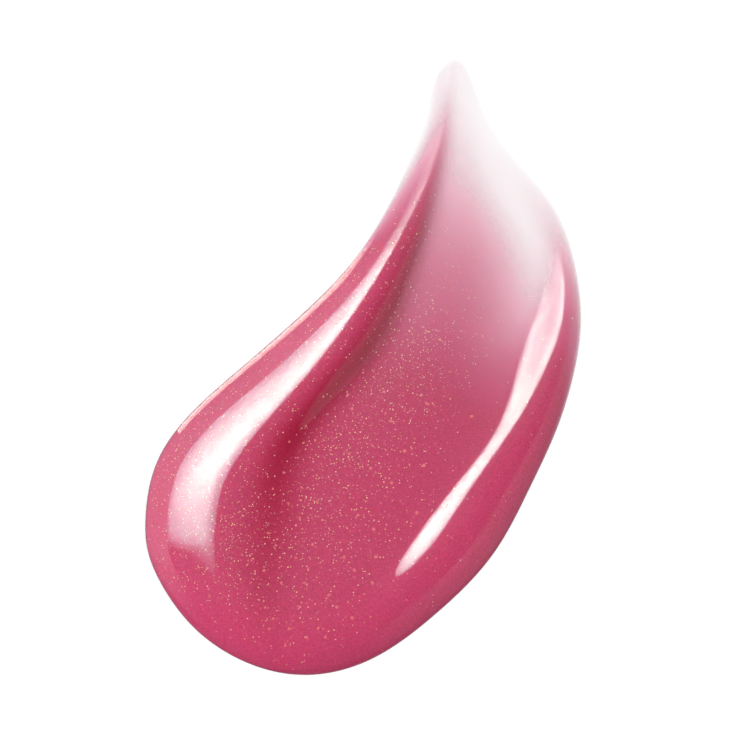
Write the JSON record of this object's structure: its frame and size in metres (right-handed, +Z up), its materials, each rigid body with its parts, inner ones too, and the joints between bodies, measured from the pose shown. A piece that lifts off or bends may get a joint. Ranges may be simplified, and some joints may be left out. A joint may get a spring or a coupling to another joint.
{
  "type": "lip gloss smear",
  "caption": "Comma-shaped smear of clear pink shimmer lip gloss, thick rolled bulb at one end, feathered tail at the other, flat underneath.",
  "frame": {"origin": "centre of the gel's bounding box, on its flat underside", "axes": "+Z up out of the surface that the gel lies on, +Y along the stroke towards its feathered tip, +X to the right of the stroke seen from above"},
  "size_m": [0.0218, 0.0308, 0.0024],
  "materials": {
    "gloss_gel": "wet high gloss, translucent pink with fine pearl shimmer",
    "gold_flake": "cream gold interference flake, satin metallic",
    "pearl_flake": "pink white pearl flake, satin"
  },
  "bodies": {
    "root": {"gloss_gel": "gloss_gel", "gold_flake_01": "gold_flake", "gold_flake_02": "gold_flake", "gold_flake_03": "gold_flake", "gold_flake_04": "gold_flake", "gold_flake_05": "gold_flake", "gold_flake_06": "gold_flake", "gold_flake_07": "gold_flake", "gold_flake_08": "gold_flake", "gold_flake_09": "gold_flake", "gold_flake_10": "gold_flake", "gold_flake_11": "gold_flake", "gold_flake_12": "gold_flake", "gold_flake_13": "gold_flake", "gold_flake_14": "gold_flake", "gold_flake_15": "gold_flake", "gold_flake_16": "gold_flake", "gold_flake_17": "gold_flake", "gold_flake_18": "gold_flake", "gold_flake_19": "gold_flake", "gold_flake_20": "gold_flake", "gold_flake_21": "gold_flake", "gold_flake_22": "gold_flake", "gold_flake_23": "gold_flake", "gold_flake_24": "gold_flake", "gold_flake_25": "gold_flake", "gold_flake_26": "gold_flake", "gold_flake_27": "gold_flake", "gold_flake_28": "gold_flake", "gold_flake_29": "gold_flake", "gold_flake_30": "gold_flake", "gold_flake_31": "gold_flake", "gold_flake_32": "gold_flake", "gold_flake_33": "gold_flake", "gold_flake_34": "gold_flake", "gold_flake_35": "gold_flake", "gold_flake_36": "gold_flake", "pearl_flake_01": "pearl_flake", "pearl_flake_02": "pearl_flake", "pearl_flake_03": "pearl_flake", "pearl_flake_04": "pearl_flake", "pearl_flake_05": "pearl_flake", "pearl_flake_06": "pearl_flake", "pearl_flake_07": "pearl_flake", "pearl_flake_08": "pearl_flake", "pearl_flake_09": "pearl_flake", "pearl_flake_10": "pearl_flake", "pearl_flake_11": "pearl_flake", "pearl_flake_12": "pearl_flake"}
  },
  "joints": []
}
